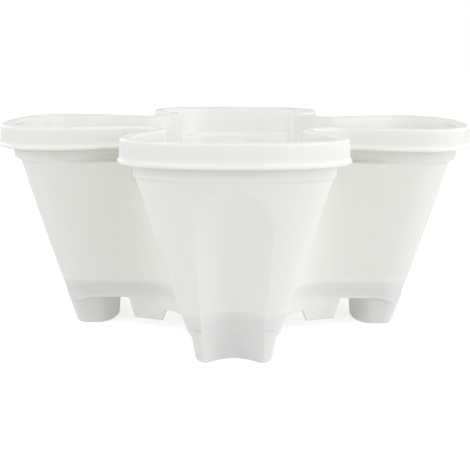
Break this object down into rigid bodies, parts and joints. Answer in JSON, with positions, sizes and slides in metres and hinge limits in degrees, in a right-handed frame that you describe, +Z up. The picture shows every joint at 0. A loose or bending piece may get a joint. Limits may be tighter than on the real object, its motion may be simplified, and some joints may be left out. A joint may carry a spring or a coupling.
{
  "type": "strawberry planter",
  "caption": "Stackable four-lobed white planter tier: a thin-walled moulded pot with banded rim, fluted lobes, hollow feet and skirt tabs, and a loose perforated soil grid that lifts out.",
  "frame": {"origin": "on the ground below the middle of the pot", "axes": "+Z up, the four lobes point along +X, +Y, -X and -Y, and the front of the picture looks along +Y"},
  "size_m": [0.3488, 0.3488, 0.151],
  "materials": {
    "pot": "satin white polypropylene, slightly translucent",
    "grid": "matt white polypropylene"
  },
  "bodies": {
    "pot": {"pot_shell": "pot"},
    "grid": {"soil_grid": "grid"}
  },
  "joints": [
    {"name": "grid_lift", "type": "slide", "parent": "pot", "child": "grid", "axis": [0, 0, 1], "range_m": [0, 0.13]}
  ]
}
